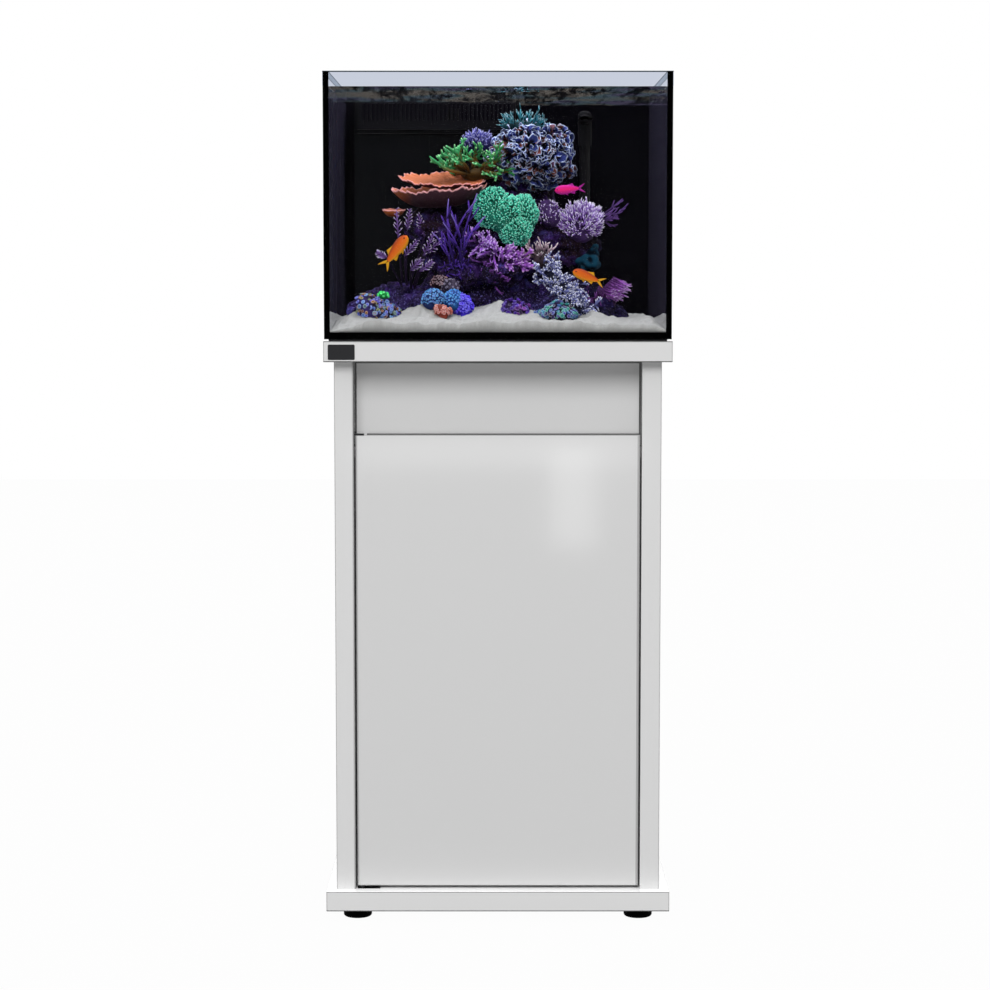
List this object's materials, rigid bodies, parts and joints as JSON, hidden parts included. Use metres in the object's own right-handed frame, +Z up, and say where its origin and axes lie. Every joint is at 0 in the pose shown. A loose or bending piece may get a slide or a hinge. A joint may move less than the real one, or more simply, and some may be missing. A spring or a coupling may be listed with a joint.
{
  "type": "aquarium on stand",
  "caption": "Open-topped reef tank with weir, sand, rock and corals on a gloss pale cabinet with an inset door, recessed fascia, sump below and levelling feet.",
  "frame": {"origin": "on the floor under the middle of the slabs", "axes": "+Z up, front faces -Y, +X to the right seen from the front"},
  "size_m": [0.602, 0.553, 1.481],
  "materials": {
    "white_lacquer": "high gloss pale lacquer on board",
    "carcass_board": "satin melamine board",
    "steel": "zinc plated",
    "brass": "turned",
    "black_plastic": "moulded black",
    "foam": "soft foam",
    "clear_glass": "polished clear float",
    "black_glass": "black backed float",
    "black_silicone": "cured bead",
    "black_acrylic": "polished black sheet",
    "grey_pipe": "extruded pipe",
    "red_lever": "moulded",
    "impeller_white": "moulded",
    "sump_glass": "clear float",
    "felt": "needle felt",
    "sand": "fine aragonite grains",
    "rock": "porous, coralline purple",
    "coral_blue_leaf": "leafy, pale rims",
    "coral_orange": "ribbed plate, pale rim",
    "coral_green_ball": "fine polyps",
    "coral_green_branch": "branches with bright tips",
    "coral_crown": "fine branches",
    "coral_lilac": "pale tips",
    "coral_magenta": "branches",
    "coral_blue_white": "pale branches",
    "coral_purple": "branches",
    "polyps": "polyp discs"
  },
  "bodies": {
    "stand": {"top_slab": "white_lacquer", "plinth_slab": "white_lacquer", "side_panel_left": "white_lacquer", "side_panel_right": "white_lacquer", "recess_fascia": "white_lacquer", "cabinet_back_panel": "carcass_board", "cross_rail": "carcass_board", "hinge_blades": "steel", "foot_inserts": "steel", "catch_magnet": "black_plastic", "bulkhead_bodies": "black_plastic", "bulkhead_nuts": "black_plastic", "pump_housing": "black_plastic", "levelling_mat": "foam", "tank_bottom_pane": "clear_glass", "tank_front_pane": "clear_glass", "tank_left_pane": "clear_glass", "tank_right_pane": "clear_glass", "tank_back_pane": "black_glass", "silicone_seams": "black_silicone", "bulkhead_gaskets": "black_silicone", "weir_panels": "black_acrylic", "sock_holder": "black_acrylic", "standpipes": "grey_pipe", "return_riser": "grey_pipe", "drain_pipe": "grey_pipe", "emergency_pipe": "grey_pipe", "return_pipe": "grey_pipe", "drain_valve_body": "grey_pipe", "sump_panes": "sump_glass", "sump_baffles": "sump_glass", "sand_bed": "sand", "reef_rock": "rock", "leaf_coral": "coral_blue_leaf", "plate_coral": "coral_orange", "ball_coral": "coral_green_ball", "green_branch_coral": "coral_green_branch", "crown_corals": "coral_crown", "lilac_bush_coral": "coral_lilac", "magenta_branch_coral": "coral_magenta", "blue_branch_coral": "coral_blue_white", "purple_fan_coral": "coral_purple", "twig_corals": "coral_purple", "polyp_mounds": "polyps"},
    "door": {"door_panel": "white_lacquer", "hinge_bushes": "brass", "catch_strike": "steel"},
    "valve_lever": {"drain_valve_lever": "red_lever"},
    "comb": {"weir_comb": "black_acrylic"},
    "sock": {"filter_sock": "felt"},
    "nozzle": {"return_nozzle": "black_plastic"},
    "impeller": {"pump_impeller": "impeller_white"},
    "pad_front_left": {"foot_pad_front_left": "black_plastic"},
    "stud_front_left": {"foot_stud_front_left": "steel"},
    "pad_front_right": {"foot_pad_front_right": "black_plastic"},
    "stud_front_right": {"foot_stud_front_right": "steel"},
    "pad_rear_left": {"foot_pad_rear_left": "black_plastic"},
    "stud_rear_left": {"foot_stud_rear_left": "steel"},
    "pad_rear_right": {"foot_pad_rear_right": "black_plastic"},
    "stud_rear_right": {"foot_stud_rear_right": "steel"}
  },
  "joints": [
    {"name": "door_swing", "type": "hinge", "parent": "stand", "child": "door", "pos_m": [-0.2395, -0.2435, 0.4595], "axis": [0, 0, -1], "range_deg": [0, 95]},
    {"name": "valve_turn", "type": "hinge", "parent": "stand", "child": "valve_lever", "pos_m": [-0.16, 0.17, 0.7], "axis": [0, 1, 0], "range_deg": [0, 90]},
    {"name": "comb_lift", "type": "slide", "parent": "stand", "child": "comb", "axis": [0, 0, 1], "range_m": [0, 0.09]},
    {"name": "sock_lift", "type": "slide", "parent": "stand", "child": "sock", "axis": [0, 0, 1], "range_m": [0, 0.12]},
    {"name": "nozzle_swivel", "type": "hinge", "parent": "stand", "child": "nozzle", "pos_m": [0.165, 0.2, 1.4], "axis": [0, 0, 1], "range_deg": [-45, 45]},
    {"name": "impeller_spin", "type": "hinge", "parent": "stand", "child": "impeller", "pos_m": [0.165, 0.2, 0.107], "axis": [0, 1, 0], "continuous": true},
    {"name": "foot_height_front_left", "type": "slide", "parent": "stand", "child": "pad_front_left", "axis": [0, 0, -1], "range_m": [0, 0.015]},
    {"name": "stud_turn_front_left", "type": "hinge", "parent": "pad_front_left", "child": "stud_front_left", "pos_m": [-0.2485, -0.2235, 0.03], "axis": [0, 0, -1], "range_deg": [0, 3600]},
    {"name": "foot_height_front_right", "type": "slide", "parent": "stand", "child": "pad_front_right", "axis": [0, 0, -1], "range_m": [0, 0.015]},
    {"name": "stud_turn_front_right", "type": "hinge", "parent": "pad_front_right", "child": "stud_front_right", "pos_m": [0.2485, -0.2235, 0.03], "axis": [0, 0, -1], "range_deg": [0, 3600]},
    {"name": "foot_height_rear_left", "type": "slide", "parent": "stand", "child": "pad_rear_left", "axis": [0, 0, -1], "range_m": [0, 0.015]},
    {"name": "stud_turn_rear_left", "type": "hinge", "parent": "pad_rear_left", "child": "stud_rear_left", "pos_m": [-0.2485, 0.2235, 0.03], "axis": [0, 0, -1], "range_deg": [0, 3600]},
    {"name": "foot_height_rear_right", "type": "slide", "parent": "stand", "child": "pad_rear_right", "axis": [0, 0, -1], "range_m": [0, 0.015]},
    {"name": "stud_turn_rear_right", "type": "hinge", "parent": "pad_rear_right", "child": "stud_rear_right", "pos_m": [0.2485, 0.2235, 0.03], "axis": [0, 0, -1], "range_deg": [0, 3600]}
  ],
  "couplings": [
    {"joint": "stud_turn_front_left", "follows": "foot_height_front_left", "rad_per_m": 4188.8},
    {"joint": "stud_turn_front_right", "follows": "foot_height_front_right", "rad_per_m": 4188.8},
    {"joint": "stud_turn_rear_left", "follows": "foot_height_rear_left", "rad_per_m": 4188.8},
    {"joint": "stud_turn_rear_right", "follows": "foot_height_rear_right", "rad_per_m": 4188.8}
  ]
}
